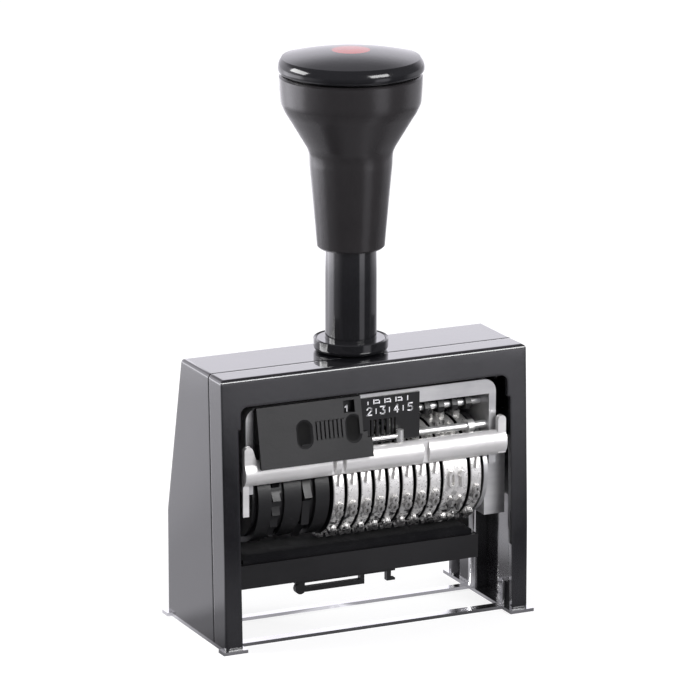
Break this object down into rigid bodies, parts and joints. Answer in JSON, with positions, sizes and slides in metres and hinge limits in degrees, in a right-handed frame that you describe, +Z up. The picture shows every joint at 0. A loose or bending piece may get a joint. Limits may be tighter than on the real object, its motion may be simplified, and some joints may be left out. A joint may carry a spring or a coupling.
{
  "type": "numbering machine",
  "caption": "Self-inking numbering and date stamp: pressing the knob lowers a carriage of engraved wheels through a slanted housing while its ink tray swings back.",
  "frame": {"origin": "middle of the machine's foot on the surface it stands on", "axes": "+Z up along the handle, -Y to the open front, +X to the right seen from the front"},
  "size_m": [0.0904, 0.0413, 0.1534],
  "materials": {
    "black_enamel": "gloss",
    "bright_sheet": "polished",
    "black_gloss": "gloss",
    "rod_steel": "polished",
    "spring_steel": "satin",
    "carriage_steel": "satin",
    "bar_steel": "satin",
    "black_satin": "satin",
    "red_inlay": "gloss",
    "black_part": "satin",
    "tray_black": "satin",
    "ink_felt": "matt",
    "type_metal": "satin"
  },
  "bodies": {
    "housing": {"front_frame": "black_enamel", "rear_shell": "black_enamel", "base_frame": "bright_sheet", "base_screws": "bright_sheet", "guide_tube": "black_gloss", "collar": "black_gloss", "guide_rod_left": "rod_steel", "guide_rod_right": "rod_steel", "rod_blocks": "black_part", "return_spring": "spring_steel"},
    "carriage": {"carriage_frame": "carriage_steel", "guide_shoe_left": "black_part", "guide_shoe_right": "black_part", "push_rod": "rod_steel", "rod_nut": "rod_steel", "handle_body": "black_satin", "knob_cap": "black_gloss", "cap_inlay": "red_inlay", "wheel_axle": "rod_steel", "axle_clips": "rod_steel", "front_bar": "bar_steel", "scale_plate": "black_part", "selector_rod": "rod_steel", "rod_collar": "rod_steel", "pawl_shaft": "rod_steel", "detent_comb": "spring_steel"},
    "pawls": {"advance_pawls": "black_part"},
    "tray": {"ink_tray": "tray_black", "ink_pad": "ink_felt", "tray_arm_left": "carriage_steel", "tray_arm_right": "carriage_steel"},
    "catch": {"pad_catch": "black_part"},
    "slider": {"repeat_slider": "black_part", "pointer_wire": "rod_steel"},
    "drum": {"cam_drum": "black_part"},
    "number_wheel_1": {"number_wheel_1": "type_metal"},
    "number_wheel_2": {"number_wheel_2": "type_metal"},
    "number_wheel_3": {"number_wheel_3": "type_metal"},
    "number_wheel_4": {"number_wheel_4": "type_metal"},
    "number_wheel_5": {"number_wheel_5": "type_metal"},
    "number_wheel_6": {"number_wheel_6": "type_metal"},
    "day_wheel_tens": {"day_wheel_tens": "type_metal"},
    "day_wheel_units": {"day_wheel_units": "type_metal"},
    "month_wheel": {"month_wheel": "type_metal"},
    "year_wheel": {"year_wheel": "type_metal"}
  },
  "joints": [
    {"name": "plunge", "type": "slide", "parent": "housing", "child": "carriage", "axis": [0, 0, -1], "range_m": [0, 0.0232], "stiffness_N_per_m": 400, "springref_m": -0.02, "deforming": ["return_spring"]},
    {"name": "tray_swing", "type": "hinge", "parent": "carriage", "child": "tray", "pos_m": [0, -0.0019, 0.0382], "axis": [1, 0, 0], "range_deg": [0, 90.5]},
    {"name": "pawl_swing", "type": "hinge", "parent": "carriage", "child": "pawls", "pos_m": [0, -0.009, 0.057], "axis": [1, 0, 0], "range_deg": [0, 10.2]},
    {"name": "repeat_slide", "type": "slide", "parent": "carriage", "child": "slider", "axis": [1, 0, 0], "range_m": [0, 0.0172]},
    {"name": "catch_slide", "type": "slide", "parent": "tray", "child": "catch", "axis": [1, 0, 0], "range_m": [0, 0.0025]},
    {"name": "drum_spin", "type": "hinge", "parent": "carriage", "child": "drum", "pos_m": [0, -0.0019, 0.0382], "axis": [1, 0, 0], "continuous": true},
    {"name": "number_wheel_1_spin", "type": "hinge", "parent": "carriage", "child": "number_wheel_1", "pos_m": [0, -0.0019, 0.0382], "axis": [1, 0, 0], "continuous": true},
    {"name": "number_wheel_2_spin", "type": "hinge", "parent": "carriage", "child": "number_wheel_2", "pos_m": [0, -0.0019, 0.0382], "axis": [1, 0, 0], "continuous": true},
    {"name": "number_wheel_3_spin", "type": "hinge", "parent": "carriage", "child": "number_wheel_3", "pos_m": [0, -0.0019, 0.0382], "axis": [1, 0, 0], "continuous": true},
    {"name": "number_wheel_4_spin", "type": "hinge", "parent": "carriage", "child": "number_wheel_4", "pos_m": [0, -0.0019, 0.0382], "axis": [1, 0, 0], "continuous": true},
    {"name": "number_wheel_5_spin", "type": "hinge", "parent": "carriage", "child": "number_wheel_5", "pos_m": [0, -0.0019, 0.0382], "axis": [1, 0, 0], "continuous": true},
    {"name": "number_wheel_6_spin", "type": "hinge", "parent": "carriage", "child": "number_wheel_6", "pos_m": [0, -0.0019, 0.0382], "axis": [1, 0, 0], "continuous": true},
    {"name": "day_wheel_tens_spin", "type": "hinge", "parent": "carriage", "child": "day_wheel_tens", "pos_m": [0, -0.0019, 0.0382], "axis": [1, 0, 0], "continuous": true},
    {"name": "day_wheel_units_spin", "type": "hinge", "parent": "carriage", "child": "day_wheel_units", "pos_m": [0, -0.0019, 0.0382], "axis": [1, 0, 0], "continuous": true},
    {"name": "month_wheel_spin", "type": "hinge", "parent": "carriage", "child": "month_wheel", "pos_m": [0, -0.0019, 0.0382], "axis": [1, 0, 0], "continuous": true},
    {"name": "year_wheel_spin", "type": "hinge", "parent": "carriage", "child": "year_wheel", "pos_m": [0, -0.0019, 0.0382], "axis": [1, 0, 0], "continuous": true}
  ],
  "couplings": [
    {"joint": "tray_swing", "follows": "plunge", "rad_per_m": 67.7},
    {"joint": "pawl_swing", "follows": "plunge", "rad_per_m": 7.5}
  ]
}
